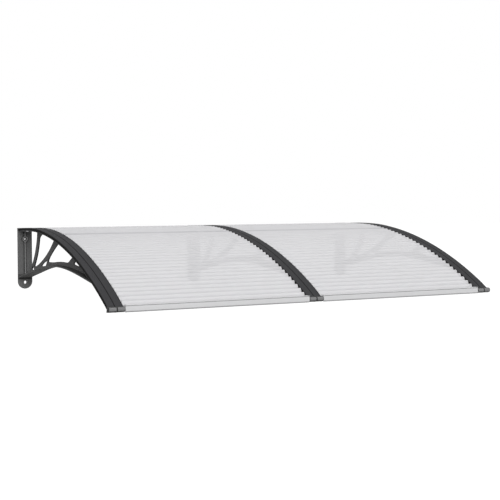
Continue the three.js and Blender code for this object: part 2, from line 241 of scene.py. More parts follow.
# %% Lamps
LAMPS = {
    "front_light": {"toward": (-0.35, -0.85, 0.4), "strength": 2.7, "spread": math.radians(50)},
    "top_light": {"toward": (0.0, -0.2, 1.0), "strength": 1.15, "spread": math.radians(90)},
}
for name, lamp in LAMPS.items():
    light = bpy.data.lights.new(name, "SUN")
    light.energy = lamp["strength"]
    light.angle = lamp["spread"]
    holder = bpy.data.objects.new(name, light)
    holder.rotation_euler = (-Vector(lamp["toward"])).to_track_quat("-Z", "Y").to_euler()
    bpy.context.scene.collection.objects.link(holder)
print("lamps:", ", ".join(LAMPS))

# %% [markdown]
# ## Masks and tints
#
# Edges that catch the light, dark grooves and shaded corners are painted where they are, by masks.
# A mask is a function of a point's x, its distance out from the wall and its height, and a tint is
# a mask with a colour and a strength. So the same few lines serve plastic and metal, and a tint
# moves when the size it is written with changes.

# %% Masks and tints
def step(make, value, low, high):
    """0 below the low limit, 1 above the high one and a smooth rise between them."""
    limits = {"Value": value, "From Min": low, "From Max": high}
    return make.node("MapRange", {"interpolation_type": "SMOOTHSTEP"}, limits)


def within(make, value, low, high, blur):
    """1 between two limits and 0 outside them, with soft edges of a given width."""
    return step(make, value, low - blur, low) * (1.0 - step(make, value, high, high + blur))


def tinted(make, colour, tints):
    """A colour with tints laid over it one after the other."""
    place = make.place()
    x, y, z = (make.part(place, axis) for axis in range(3))
    out = 0.0 - y
    for mask, tint, strength in tints:
        colour = make.mix(mask(make, x, out, z) * strength, colour, tint)
    return colour


print("tint helpers ready")

# %% [markdown]
# ## Dark plastic
#
# Brackets, strips and caps are moulded or extruded in near-black plastic. Its fine eroded grain
# breaks up the reflections, and long flow marks change the gloss a little from place to place. A
# noise at the grain's size drives the bump, and a larger one moves colour and roughness. An
# extrusion also has streaks along its length, which are a noise stretched along the strip.

# %% Dark plastic
GRAIN_PER_METRE = 900.0
GRAIN_HEIGHT = 0.0002
GRAIN_BUMP = 0.25
GRAIN_SHADE = 0.25
FLOW_PER_METRE = 14.0
FLOW_SHADE = 0.5
FLOW_GLOSS = 0.16
STREAKS_PER_METRE = 420.0
STREAK_GLOSS = 0.2
ALONG_STRIP = (1.0, 0.004, 0.004)
DARKEST = 0.72
LIGHTEST = 1.28


def dark_plastic(name, tone, roughness, sheen, streaks=0.0, tints=()):
    material, make = new_finish(name)
    place = make.place()
    flow = make.noise(place, FLOW_PER_METRE, 3.0)
    grain = make.noise(place, GRAIN_PER_METRE, 2.0)
    lines = make.noise(make.stretched(place, ALONG_STRIP), STREAKS_PER_METRE, 2.0)
    shade = (flow - 0.5) * FLOW_SHADE + (grain - 0.5) * GRAIN_SHADE + (lines - 0.5) * streaks
    dark = [DARKEST * level for level in tone]
    light = [LIGHTEST * level for level in tone]
    colour = make.mix(shade + 0.5, (*dark, 1.0), (*light, 1.0))
    bump = make.node("Bump", inputs={
        "Height": grain + lines * streaks, "Strength": GRAIN_BUMP, "Distance": GRAIN_HEIGHT,
    })
    surface = make.node("BsdfPrincipled", inputs={
        "Base Color": tinted(make, colour, tints),
        "Roughness": roughness + (flow - 0.5) * FLOW_GLOSS + (lines - 0.5) * STREAK_GLOSS * streaks,
        "Normal": bump,
        "Specular IOR Level": sheen,
    })
    show(make, surface)
    return material


print("dark plastic helper ready")

# %% [markdown]
# ## Skins from rings
#
# Nearly every piece here is a section that runs along a path: a strip along the arch, a bar along
# its panel, a screw along its axis. So one helper joins rings of points into a closed skin. Pieces
# that are cut or joined use Blender's boolean modifier, as a milling step would.

# %% Skins and cuts
def skin(rings):
    """A closed mesh over rings with equal numbers of points, capped at both ends."""
    count = len(rings[0])
    last = (len(rings) - 1) * count
    faces = [
        [a + i, a + (i + 1) % count, a + count + (i + 1) % count, a + count + i]
        for a in range(0, last, count) for i in range(count)
    ]
    faces += [list(range(count))[::-1], [last + i for i in range(count)]]
    mesh = bpy.data.meshes.new("skin")
    mesh.from_pydata([point for ring in rings for point in ring], [], faces)
    shape = bmesh.new()
    shape.from_mesh(mesh)
    bmesh.ops.recalc_face_normals(shape, faces=shape.faces)
    shape.to_mesh(mesh)
    shape.free()
    return mesh


def carve(base, joins=(), cuts=()):
    """The base mesh with other meshes joined to it and then cut from it."""
    holder = bpy.data.objects.new("carving", base)
    bpy.context.scene.collection.objects.link(holder)
    tools = []
    for operation, meshes in (("UNION", joins), ("DIFFERENCE", cuts)):
        for mesh in meshes:
            tool = bpy.data.objects.new("tool", mesh)
            bpy.context.scene.collection.objects.link(tool)
            boolean = holder.modifiers.new(operation, "BOOLEAN")
            boolean.operation = operation
            boolean.solver = "MANIFOLD"
            boolean.object = tool
            tools.append(tool)
    bpy.context.view_layer.update()
    made = bpy.data.meshes.new_from_object(holder.evaluated_get(bpy.context.evaluated_depsgraph_get()))
    for helper in (*tools, holder):
        bpy.data.objects.remove(helper)
    return made


def spread(first, last, count):
    return [first + (last - first) * i / (count - 1) for i in range(count)]


print("skin helpers ready")

# %% [markdown]
# ## Pieces
#
# A skin becomes a piece when it has its finish and takes the place of a solid. Faces are shaded
# smooth and only edges with a larger angle stay sharp, so the curves show no facets. Nothing on the
# canopy moves, so every piece rides on the root.

# %% Pieces
SHARP_ANGLE = math.radians(34)


def add_piece(name, mesh, finish, node, place=(0.0, 0.0, 0.0)):
    """Puts a mesh in the scene as the visible form of a solid."""
    mesh.materials.clear()
    mesh.materials.append(finish)
    mesh.polygons.foreach_set("use_smooth", [True] * len(mesh.polygons))
    mesh.set_sharp_from_angle(angle=SHARP_ANGLE)
    piece = bpy.data.objects.new(name, mesh)
    piece.location = place
    bpy.context.scene.collection.objects.link(piece)
    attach(piece, "root")
    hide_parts(node)
    return piece


print("piece helper ready")

# %% [markdown]
# ## The arch
#
# All three brackets, strips and both panels follow one circle in side view. A point on the canopy
# is given by its distance out from the wall and its depth below the strips' upper face. What can be
# read from the solids' boxes is read there, so the skins stay where the solids are.

# %% The arch
ARCH_RADIUS = 1.633
ARCH_APEX_OUT = 0.158
ARCH_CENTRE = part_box("cover_strip_middle")[1].z - ARCH_RADIUS
ARCH_RINGS = 97
STATIONS = ("left", "middle", "right")
CAP_LENGTH = 0.0215


def arch_up(depth, out):
    return ARCH_CENTRE + math.sqrt((ARCH_RADIUS - depth) ** 2 - (out - ARCH_APEX_OUT) ** 2)


def along_arch(section, rear, front, count=ARCH_RINGS):
    """Rings of an upright section of (x, depth) points, carried along the arch."""
    outs = spread(rear, front, count)
    return [[(x, -out, arch_up(depth, out)) for x, depth in section] for out in outs]


def polar(x, depth, turn):
    """A point at a depth below the arch, at an angle of turn from the arch's top towards the front."""
    reach = ARCH_RADIUS - depth
    return (x, -ARCH_APEX_OUT - reach * math.sin(turn), ARCH_CENTRE + reach * math.cos(turn))


def centre_x(node):
    low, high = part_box(node)
    return (low.x + high.x) / 2


PLATE_X = {name: centre_x(f"bracket_{name}") for name in STATIONS}
STRIP_HALF = (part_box("cover_strip_middle")[1].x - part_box("cover_strip_middle")[0].x) / 2
DEPTH = -cad_box[0].y
CAP_REAR = DEPTH - CAP_LENGTH
print("brackets at", [round(x, 4) for x in PLATE_X.values()])

# %% [markdown]
# ## Corrugated panels
#
# The sheet's waves run from side to side, so that rain flows to the front in steps and the sheet
# can bend over the arch. Many steps per wave keep the highlights smooth, where the solid underneath
# has only a few. The strips and the bar press the waves flatter at the sheet's edges; in the open
# the crests stand almost as high as the strips, and in front of the arch's top the sheet bulges by
# a few millimetres, so that seen along the sheet the crests hide the strips' lower edges.

# %% The waves
WAVE_PITCH = 0.0252
WAVE_RISE = 0.0044
SHEET_THICK = 0.001
SHEET_MIDDLE_DEPTH = 0.0054
SHEET_RADIUS = ARCH_RADIUS - SHEET_MIDDLE_DEPTH
WAVES_PER_TURN = 2 * math.pi * SHEET_RADIUS / WAVE_PITCH


def wave(turn):
    """1 on a crest and -1 in a trough."""
    return math.cos(turn * WAVES_PER_TURN)


def ease(share):
    share = max(0.0, min(1.0, share))
    return share * share * (3 - 2 * share)


print("waves along the arch:", round(WAVES_PER_TURN / (2 * math.pi) * (DEPTH / ARCH_RADIUS), 1))

# %% [markdown]
# ### Translucent sheet
#
# Opal polycarbonate scatters light: it is pale from above, and a dark piece close below it shows
# as a soft shade. A mix of a glossy pale surface and a translucent one does both, and a little
# transparency lets the plates at the wall show faintly. The angle round the arch's centre gives
# each point its place in the wave. The troughs are painted a little darker as shade, more so
# towards the front, and the whole sheet is painted paler towards the front, as painted light on the
# slope that faces the front lamp. One thin darker line runs across the sheet, about two fifths of
# the way from the wall.

# %% Finish of the sheet
SHEET_TONE = (0.635, 0.632, 0.645)
SHEET_OPACITY = 0.65
SHEET_SCATTER = 0.2
SHEET_ROUGHNESS = 0.3
SHEET_IOR = 1.5
SHEET_SPREAD = 0.04
BANDS_PER_METRE = 60.0
BAND_SHADE = 0.5
BAND_GLOSS = 0.15
CLOUDS_PER_METRE = 5.0
CLOUD_SHADE = 0.4
ALONG_WAVES = (0.04, 1.0, 1.0)
SHADE_AND_LINE_TONE = (0.3, 0.3, 0.32, 1.0)
TROUGH_SHADE = 0.26
TROUGH_LIMITS = (-1.0, -0.1)
TROUGH_AT_WALL = 0.5
FRONT_LIGHT_FROM = 0.5
FRONT_LIGHT_BY = 0.9
LINE_OUT = 0.391
LINE_HALF_WIDTH = 0.007
LINE_SHADE = 0.55


def opal_sheet(name):
    material, make = new_finish(name)
    place = make.place()
    y, z = make.part(place, 1), make.part(place, 2)
    out = 0.0 - y
    turn = make.maths("ARCTAN2", -ARCH_APEX_OUT - y, z - ARCH_CENTRE)
    crest = make.maths("COSINE", turn * WAVES_PER_TURN)
    # Painted shade: the troughs are darker, more so towards the front.
    trough = (1.0 - step(make, crest, *TROUGH_LIMITS)) * TROUGH_SHADE * (out + TROUGH_AT_WALL)
    line = (1.0 - step(make, abs(out - LINE_OUT), 0.0, LINE_HALF_WIDTH)) * LINE_SHADE
    bands = make.noise(make.stretched(place, ALONG_WAVES), BANDS_PER_METRE, 3.0)
    cloud = make.noise(place, CLOUDS_PER_METRE, 2.0)
    # Painted light: the sheet gets paler towards the front, where its slope faces the front lamp.
    painted_front_light = make.maths("MAXIMUM", out - FRONT_LIGHT_FROM, 0.0)
    shade = 0.5 + (bands - 0.5) * BAND_SHADE + (cloud - 0.5) * CLOUD_SHADE + painted_front_light * FRONT_LIGHT_BY
    dark = [(1 - SHEET_SPREAD) * level for level in SHEET_TONE]
    light = [(1 + SHEET_SPREAD) * level for level in SHEET_TONE]
    colour = make.mix(shade, (*dark, 1.0), (*light, 1.0))
    surface = make.node("BsdfPrincipled", inputs={
        "Base Color": make.mix(make.maths("MAXIMUM", line, trough), colour, SHADE_AND_LINE_TONE),
        "Roughness": SHEET_ROUGHNESS + (bands - 0.5) * BAND_GLOSS,
        "Alpha": SHEET_OPACITY,
        "IOR": SHEET_IOR,
    })
    through = make.node("BsdfTranslucent", inputs={"Color": (*SHEET_TONE, 1.0)})
    show(make, make.node("MixShader", inputs={0: SHEET_SCATTER, 1: surface, 2: through}))
    return material


sheet_finish = opal_sheet("opal_polycarbonate")
print("sheet finish:", sheet_finish.name)

# %% [markdown]
# ### The sheet's form
#
# One ring of points goes round the sheet's section at each step along the arch: over its upper face
# and back along its lower one. Beside the strips a few close points let the crests rise from the
# pressed edge to the open sheet within a millimetre or two.

# %% Panels
STEPS_PER_WAVE = 22
SHEET_REAR = 0.005
CREST_LIFT = 0.0027
EDGE_EASE = 0.0015
EDGE_STEPS = 5
FRONT_EASE = 0.012
BULGE = 0.003
BULGE_START = 0.17
BULGE_REACH = 0.12


def sheet_stations(low, high, edges):
    """The x of the points across a sheet, close together where the crests rise beside the strips."""
    near = [EDGE_EASE * i / EDGE_STEPS for i in range(EDGE_STEPS + 1)]
    return [low, *(edges[0] + x for x in near), *(edges[1] - x for x in reversed(near)), high]


def panel_mesh(node, edges):
    low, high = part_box(node)
    stations = sheet_stations(low.x, high.x, edges)
    start = math.asin((SHEET_REAR - ARCH_APEX_OUT) / SHEET_RADIUS)
    end = math.asin((-low.y - ARCH_APEX_OUT) / SHEET_RADIUS)
    steps = round((end - start) * SHEET_RADIUS / WAVE_PITCH * STEPS_PER_WAVE)
    rings = []
    for turn in spread(start, end, steps + 1):
        out = ARCH_APEX_OUT + SHEET_RADIUS * math.sin(turn)
        free = ease((CAP_REAR - out) / FRONT_EASE)
        bulge = BULGE * ease((out - BULGE_START) / BULGE_REACH)
        top = []
        under = []
        for x in stations:
            lift = free * ease(min(x - edges[0], edges[1] - x) / EDGE_EASE)
            rise = WAVE_RISE / 2 * wave(turn) + lift * (bulge + CREST_LIFT * (1 + wave(turn)) / 2)
            depth = SHEET_MIDDLE_DEPTH - rise
            top.append(polar(x, depth - SHEET_THICK / 2, turn))
            under.append(polar(x, depth + SHEET_THICK / 2, turn))
        rings.append(top + under[::-1])
    return skin(rings)


for side, first, second in (("left", "left", "middle"), ("right", "middle", "right")):
    edges = (PLATE_X[first] + STRIP_HALF, PLATE_X[second] - STRIP_HALF)
    mesh = panel_mesh(f"panel_{side}", edges)
    panel = add_piece(f"{side}_sheet", mesh, sheet_finish, f"panel_{side}")
    print(panel.name, len(panel.data.polygons), "faces")

# %% [markdown]
# ## Cover strips
#
# A strip is a flat extrusion with softly rounded upper edges and a shallow groove along its middle.
# Its edges and the groove turn away from the light, so they are painted black as shade against
# the satin face. The two outer strips also have a lip that hides the sheet's edge. The section is
# drawn once and carried along the arch, and its upper face stands a little higher in front of the
# arch's top, where the sheet bulges too.

# %% Section of the strips
STRIP_THICK = 0.0024
STRIP_EDGE = 0.0009
STRIP_SWELL = 0.0013
SWELL_FADE = 0.03
LIP_DEPTH = 0.0053
LIP_THICK = 0.002
GROOVE_HALF = 0.0016
GROOVE_FLOOR_HALF = GROOVE_HALF * 0.6
GROOVE_DEPTH = 0.001


def quarter(x, depth, radius, first, steps=4):
    """Points on a quarter circle of a section round (x, depth), from an angle in degrees."""
    angles = [math.radians(first + 90 * i / steps) for i in range(steps + 1)]
    return [(x + radius * math.cos(a), depth + radius * math.sin(a)) for a in angles]


def strip_section(width, lip_side):
    half = width / 2
    top = [
        *quarter(STRIP_EDGE - half, STRIP_EDGE, STRIP_EDGE, 180),
        (-GROOVE_HALF, 0), (-GROOVE_FLOOR_HALF, GROOVE_DEPTH),
        (GROOVE_FLOOR_HALF, GROOVE_DEPTH), (GROOVE_HALF, 0),
        *quarter(half - STRIP_EDGE, STRIP_EDGE, STRIP_EDGE, 270),
    ]
    right = [(half, STRIP_THICK)]
    left = [(-half, STRIP_THICK)]
    if lip_side > 0:
        right = [(half, LIP_DEPTH), (half - LIP_THICK, LIP_DEPTH), (half - LIP_THICK, STRIP_THICK)]
    if lip_side < 0:
        left = [(LIP_THICK - half, STRIP_THICK), (LIP_THICK - half, LIP_DEPTH), (-half, LIP_DEPTH)]
    return top + right + left


def strip_rings(section, rear, front):
    """Rings of a strip whose upper face stands a little higher in front of the arch's top."""
    rings = []
    for out in spread(rear, front, ARCH_RINGS):
        swell = STRIP_SWELL * ease((out - BULGE_START) / BULGE_REACH) * ease((front - out) / SWELL_FADE)
        lifted = [(x, depth - swell * (depth < STRIP_THICK)) for x, depth in section]
        rings.append([(x, -out, arch_up(depth, out)) for x, depth in lifted])
    return rings


print("points in the middle strip's section:", len(strip_section(2 * STRIP_HALF, 0)))

# %% [markdown]
# ### Under the strips
#
# Where a strip lies on a sheet, a dark scalloped lip below its edge fills the troughs of the waves;
# its dark also stands in for the shade in the gaps under the strip.
# On the outer side there is no sheet, and a plain wall inside the lip closes the gap down to the
# bracket's flange.

# %% Cover strips
FIT_GAP = 0.0003
SCALLOP_INSET = 0.0006
SCALLOP_THICK = 0.002
SCALLOP_REAR = 0.012
SCALLOP_RINGS = 840
LIP_SETBACK = 0.008
WALL_OUTER = 0.0244
WALL_INNER = 0.0228
WALL_FOOT = 0.0082
STRIP_SHADE = 0.008
BLACK_EDGE = (0.0244, 0.0252)
BLACK_GROOVE = (0.0011, 0.0017)


def scallops(side, rear, front):
    """The lip below a strip's edge on one side, from the strip down to the waves of the sheet."""
    first = math.asin((rear - ARCH_APEX_OUT) / ARCH_RADIUS)
    last = math.asin((front - ARCH_APEX_OUT) / ARCH_RADIUS)
    near = side * (STRIP_HALF - SCALLOP_INSET)
    far = side * (STRIP_HALF - SCALLOP_INSET - SCALLOP_THICK)
    top = STRIP_THICK / 2
    rings = []
    for turn in spread(first, last, SCALLOP_RINGS):
        foot = SHEET_MIDDLE_DEPTH - (SHEET_THICK + WAVE_RISE * wave(turn)) / 2 - FIT_GAP / 2
        section = ((near, top), (far, top), (far, foot), (near, foot))
        rings.append([polar(x, depth, turn) for x, depth in section])
    return skin(rings)


def end_wall(side, rear, front):
    """The wall inside an outer strip's lip that covers the sheet's cut edge down to the flange."""
    outer, inner, top = side * WALL_OUTER, side * WALL_INNER, STRIP_THICK / 2
    section = [(outer, top), (inner, top), (inner, WALL_FOOT), (outer, WALL_FOOT)]
    return skin(along_arch(section, rear, front))


def shaded_strip_edges(make, x, out, z):
    return step(make, abs(x), *BLACK_EDGE)


def shaded_strip_groove(make, x, out, z):
    return 1.0 - step(make, abs(x), *BLACK_GROOVE)


# Painted shade on the strip's rounded edges and in its groove.
strip_plastic = dark_plastic("extruded_black", (0.038, 0.038, 0.04), 0.7, 0.03, streaks=1.0, tints=(
    (shaded_strip_edges, grey(STRIP_SHADE), 1.0),
    (shaded_strip_groove, grey(STRIP_SHADE), 1.0),
))
for name, lip_side in zip(STATIONS, (-1, 0, 1)):
    node = f"cover_strip_{name}"
    low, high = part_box(node)
    body = skin(strip_rings(strip_section(high.x - low.x, lip_side), -high.y, -low.y))
    lip_front = -low.y - LIP_SETBACK
    # The dark lip closes the troughs and also stands in for the shade in the gaps under the strip.
    lips = [scallops(side, SCALLOP_REAR, lip_front) for side in (-1, 1) if side != lip_side]
    lips += [end_wall(side, -high.y, lip_front) for side in (-1, 1) if side == lip_side]
    strip = add_piece(f"{name}_strip", carve(body, joins=lips), strip_plastic, node,
                      (centre_x(node), 0.0, 0.0))
    print(strip.name, len(strip.data.polygons), "faces")

# %% [markdown]
# ## Brackets
#
# A bracket is one moulding with an I section. A thin web in the middle plane carries a wide flange
# along the arch and another under the lower arm, and curved spokes are left standing between large
# openings. The wall plate closes it at the back. Each form is a skin of its own, and booleans join
# them and cut the openings and holes. The three brackets share one mesh.
#
# The arm's underside rises from the wall plate to a bend, then in a curve to a crest and down to
# the arch's front. Each point of it has a share of the arm's length and a drop below the arch.

# %% The lower arm
FLANGE_TOP = 0.0084
ARM_FLANGE_THICK = 0.005
ARM_REAR_UP = -0.0665
ARM_FRONT_OUT = 0.825
ARM_BEND = (0.252, 0.155)
ARM_RISE = (0.468, 0.103)
ARM_CREST = (0.68, 0.0755)
ARM_FALL = (0.79, 0.054)
ARM_STEPS = 20


def curve(start, pull, end, steps):
    """Points of a quadratic curve, without its start."""
    shares = [i / steps for i in range(1, steps + 1)]
    return [start.lerp(pull, t).lerp(pull.lerp(end, t), t) for t in shares]


def arm_underside():
    def at(share, drop):
        return Vector((share * ARM_FRONT_OUT, arch_up(drop, share * ARM_FRONT_OUT)))
    bend, crest = at(*ARM_BEND), at(*ARM_CREST)
    points = [Vector((0, ARM_REAR_UP)), bend]
    points += curve(bend, at(*ARM_RISE), crest, ARM_STEPS)
    points += curve(crest, at(*ARM_FALL), at(1, FLANGE_TOP + ARM_FLANGE_THICK), ARM_STEPS)
    return points


UNDERSIDE = arm_underside()


def arm_up(out):
    for a, b in zip(UNDERSIDE, UNDERSIDE[1:]):
        if out <= b.x:
            return a.y + (b.y - a.y) * (out - a.x) / (b.x - a.x)
    return UNDERSIDE[-1].y


print("lower arm has", len(UNDERSIDE), "points")

# %% [markdown]
# ### Openings
#
# The spokes are what the openings leave. An opening's corner has a share of the way from the rib at
# the plate to the arm's front, and a share of the height between arm and arch; shares over 1 reach
# into the flange, where the cut is covered. A third number rounds the corner, and SMOOTH rounds it
# as far as the neighbours allow, which gives the curved sides.

# %% Openings between the spokes
RIB_OUT = 0.0095
FLANGE_BOTTOM = 0.0114
SMOOTH = 9.0
OPENINGS = [
    [(0, 1.15), (0.197, 1.12), (0.201, 0.861, SMOOTH), (0.167, 0.475, SMOOTH),
     (0.127, 0.234, SMOOTH), (0.079, 0.083, SMOOTH), (0, 0.05, 0.004)],
    [(0.301, 1.17), (0.293, 1.01), (0.234, 0.842, 0.008), (0.22, 0.612, SMOOTH), (0.197, 0.378, SMOOTH),
     (0.15, 0.128, 0.006), (0.205, 0.12, SMOOTH), (0.323, 0.305, SMOOTH), (0.411, 0.644, SMOOTH),
     (0.512, 1.43)],
    [(0.567, 1.16), (0.481, 0.735, SMOOTH), (0.374, 0.264, SMOOTH), (0.357, 0.135, 0.009),
     (0.433, 0.105, SMOOTH), (0.531, 0.158, SMOOTH), (0.637, 0.194, 0.014), (0.7, 0.684, SMOOTH),
     (0.78, 2)],
    [(0.108, 0.077, 0.003), (0.152, 0.047, 0.003), (0.124, 0.158, 0.003)],
    [(0.26, 0.068, 0.004), (0.323, 0.021, 0.005), (0.349, 0.176, 0.004), (0.297, 0.148, SMOOTH)],
    [(0.711, 0.267, 0.005), (0.913, 0.932, 0.003), (0.939, 3), (0.769, 1.18)],
]


def rounded(corners, steps=8):
    """A closed outline whose corners (a point and a rounding length) are turned into curves."""
    outline = []
    for i, (corner, rounding) in enumerate(corners):
        before, after = corners[i - 1][0], corners[(i + 1) % len(corners)][0]
        if not rounding:
            outline.append(corner)
            continue
        start = corner.lerp(before, min(rounding / (before - corner).length, 0.5))
        end = corner.lerp(after, min(rounding / (after - corner).length, 0.5))
        outline += [start, *curve(start, corner, end, steps)]
    return outline


def opening_outline(corners):
    placed = []
    for reach_share, height_share, *rounding in corners:
        out = RIB_OUT + reach_share * (ARM_FRONT_OUT - RIB_OUT)
        low = arm_up(out) + ARM_FLANGE_THICK
        up = low + (arch_up(FLANGE_BOTTOM, out) - low) * height_share
        placed.append((Vector((out, up)), rounding[0] if rounding else 0))
    return rounded(placed)


print("openings:", len(OPENINGS))

# %% [markdown]
# ### The web
#
# The web is a slab in the middle plane with the openings cut through it. A mould leaves no sharp
# edges, so each cutter widens towards the slab's faces and rounds the edges as it cuts.

# %% The web
WEB_THICK = 0.005
OPENING_ROUND = 0.0008
WEB_TOP_POINTS = 80


def across(outline, half_width):
    """A side-view outline of (out, up) points as a slab across X."""
    return skin([[(x, -p.x, p.y) for p in outline] for x in (-half_width, half_width)])


def grown(outline, distance):
    """An outline moved outwards by a distance at every point."""
    area = sum(a.x * b.y - b.x * a.y for a, b in zip(outline, outline[1:] + outline[:1]))
    turned = math.copysign(distance, area)
    moved = []
    for i, point in enumerate(outline):
        along = outline[(i + 1) % len(outline)] - outline[i - 1]
        moved.append(point + Vector((along.y, -along.x)).normalized() * turned)
    return moved


def flared(outline, half_width, edge):
    """A cutter that leaves rounded edges on both faces of a slab of that half width."""
    turns = [math.radians(30 * i) for i in range(4)]
    flare = [(half_width - edge * (1 - math.sin(a)), edge * (1 - math.cos(a))) for a in turns]
    flare.append((half_width * 2, edge))
    levels = [(-x, out) for x, out in reversed(flare)] + flare
    return skin([[(x, -p.x, p.y) for p in grown(outline, out)] for x, out in levels])


def web_mesh():
    top = (FLANGE_TOP + FLANGE_BOTTOM) / 2
    arch_line = [Vector((out, arch_up(top, out))) for out in spread(ARM_FRONT_OUT, 0.0, WEB_TOP_POINTS)]
    cutters = [flared(opening_outline(corners), WEB_THICK / 2, OPENING_ROUND) for corners in OPENINGS]
    return carve(across(UNDERSIDE + arch_line, WEB_THICK / 2), cuts=cutters)


web = web_mesh()
print("web:", len(web.polygons), "faces")

# %% [markdown]
# ### Plate, flanges and holes
#
# The plate has a round foot, a boss round the upper hole and a slot below, so that it can be hung
# level. It is joined to the web with the boss and both flanges, and the holes are cut last, because
# they go through several forms.

# %% Join and cut the bracket
FLANGE_WIDTH = 0.05
PLATE_THICK = 0.0035
EDGE_ROUND = 0.0006
FOOT_STEPS = 32
BOSS_RADIUS = 0.011
BOSS_OUT = 0.0105
UPPER_HOLE = (0.084, 0.003)
COUNTERBORE = (0.006, 0.002)
LOWER_SLOT = (-0.084, 0.0045, 0.00125)
BEHIND_PLATE = -0.01
BEYOND_BOSS = 0.03
BEYOND_PLATE = 0.015


def ring_of(radius, up, out, count=40, stretch=0.0):
    """A circle facing the wall, or a slot when it is stretched upwards and downwards."""
    points = []
    for i in range(count):
        angle = 2 * math.pi * (i + 0.5) / count
        rise = math.copysign(stretch, math.sin(angle))
        points.append((radius * math.cos(angle), -out, up + rise + radius * math.sin(angle)))
    return points


def plate_ring(out, inset, low, high):
    half = high.x - inset
    turns = [math.pi + math.pi * i / FOOT_STEPS for i in range(FOOT_STEPS + 1)]
    centre_up = low.z + high.x
    foot = [(half * math.cos(a), -out, centre_up + half * math.sin(a)) for a in turns]
    return [(half, -out, high.z - inset), (-half, -out, high.z - inset), *foot]


def band(section_half, top, bottom, edge):
    """A flange's section of (x, offset) points with rounded long edges."""
    return [
        (edge - section_half, top), (section_half - edge, top), (section_half, top + edge),
        (section_half, bottom - edge), (section_half - edge, bottom), (edge - section_half, bottom),
        (-section_half, bottom - edge), (-section_half, top + edge),
    ]


def bracket_holes():
    up, radius = UPPER_HOLE
    bore_radius, bore_depth = COUNTERBORE
    slot_up, slot_radius, slot_stretch = LOWER_SLOT
    slot_ends = (BEHIND_PLATE, BEYOND_PLATE)
    return [
        skin([ring_of(radius, up, out) for out in (BEHIND_PLATE, BEYOND_BOSS)]),
        skin([ring_of(bore_radius, up, out) for out in (BOSS_OUT - bore_depth, BEYOND_BOSS)]),
        skin([ring_of(slot_radius, slot_up, out, stretch=slot_stretch) for out in slot_ends]),
    ]


def bracket_mesh():
    low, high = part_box("bracket_middle")
    edge = EDGE_ROUND
    plate = skin([plate_ring(0, 0, low, high), plate_ring(PLATE_THICK - edge, 0, low, high),
                  plate_ring(PLATE_THICK, edge, low, high)])
    boss = skin([ring_of(BOSS_RADIUS, UPPER_HOLE[0], 0),
                 ring_of(BOSS_RADIUS, UPPER_HOLE[0], BOSS_OUT - edge),
                 ring_of(BOSS_RADIUS - edge, UPPER_HOLE[0], BOSS_OUT)])
    arch_flange = skin(along_arch(band(FLANGE_WIDTH / 2, FLANGE_TOP, FLANGE_BOTTOM, edge), 0.0, -low.y))
    arm_section = band(FLANGE_WIDTH / 2, 0.0, ARM_FLANGE_THICK, edge)
    arm_flange = skin([
        [(x, -p.x, p.y + ARM_FLANGE_THICK - offset) for x, offset in arm_section] for p in UNDERSIDE
    ])
    return carve(web, joins=[plate, boss, arch_flange, arm_flange], cuts=bracket_holes())


moulding = bracket_mesh()
print("bracket mesh:", len(moulding.polygons), "faces")

# %% [markdown]
# ### Light and shade on the brackets
#
# Faces of a bracket that look up lie in the shade of the sheet, and so do the cut faces of the
# openings; the arm's underside is lighter. These differences are too soft and small for the lamps
# alone to make, so they are tints that follow the direction of each face.

# %% Masks for the faces
EDGE_BLUR = 0.0005
TURNED = (0.3, 0.8)
NEARLY_DOWN = (-0.95, -0.85)


def facing(make, axis):
    """How far a face looks along an axis, from -1 to 1."""
    return make.part(make.normal(), axis)


def facing_up(make, x, out, z):
    return step(make, facing(make, 2), *TURNED)


def facing_down(make, x, out, z):
    return 1.0 - step(make, facing(make, 2), -TURNED[1], -TURNED[0])


def cut_faces(make, x, out, z):
    sideways = step(make, abs(facing(make, 0)), *TURNED)
    in_web = 1.0 - step(make, abs(x), WEB_THICK / 2, WEB_THICK / 2 + EDGE_BLUR)
    beyond_rib = step(make, out, RIB_OUT + EDGE_BLUR, RIB_OUT + 3 * EDGE_BLUR)
    not_below = step(make, facing(make, 2), *NEARLY_DOWN)
    return (1.0 - sideways) * in_web * beyond_rib * not_below


print("masks for faces ready")

# %% [markdown]
# ### Light and shade on the plate
#
# The web stands on the plate as a narrow rib. Its front edge and the boss round the upper hole catch
# the light; the corners beside them, above the arm's root and under the arm stay darker. Masks that
# use the plate's own sizes put these tints in place.

# %% Masks for the plate
CORNER_REACH = 0.006
ROOT_HEIGHT = 0.012
ARM_SHADOW = 0.003


# Painted light: the plate's front face is lighter than the rest of the moulding.
def plate_face(make, x, out, z):
    return within(make, out, PLATE_THICK - EDGE_BLUR, PLATE_THICK + EDGE_BLUR, EDGE_BLUR)


def arm_root(make, x, out, z):
    above = within(make, z, ARM_REAR_UP, ARM_REAR_UP + ROOT_HEIGHT, CORNER_REACH)
    return above * within(make, out, PLATE_THICK - EDGE_BLUR, PLATE_THICK, EDGE_BLUR)


def arm_corner(make, x, out, z):
    below = within(make, z, ARM_REAR_UP - ARM_SHADOW, ARM_REAR_UP, CORNER_REACH)
    return below * within(make, out, PLATE_THICK - EDGE_BLUR, PLATE_THICK, EDGE_BLUR)


def rib_corners(make, x, out, z):
    near = 1.0 - step(make, abs(x), WEB_THICK / 2, WEB_THICK / 2 + CORNER_REACH)
    behind = within(make, out, PLATE_THICK - EDGE_BLUR, RIB_OUT - 2 * EDGE_BLUR, EDGE_BLUR)
    return near * behind * step(make, z, ARM_REAR_UP, ARM_REAR_UP + CORNER_REACH)


def rib_edge(make, x, out, z):
    near = 1.0 - step(make, abs(x), WEB_THICK / 2, WEB_THICK / 2 + EDGE_BLUR)
    above = step(make, z, ARM_REAR_UP + ROOT_HEIGHT, ARM_REAR_UP + ROOT_HEIGHT + CORNER_REACH)
    return near * above * within(make, out, RIB_OUT - EDGE_BLUR, RIB_OUT + EDGE_BLUR, EDGE_BLUR)


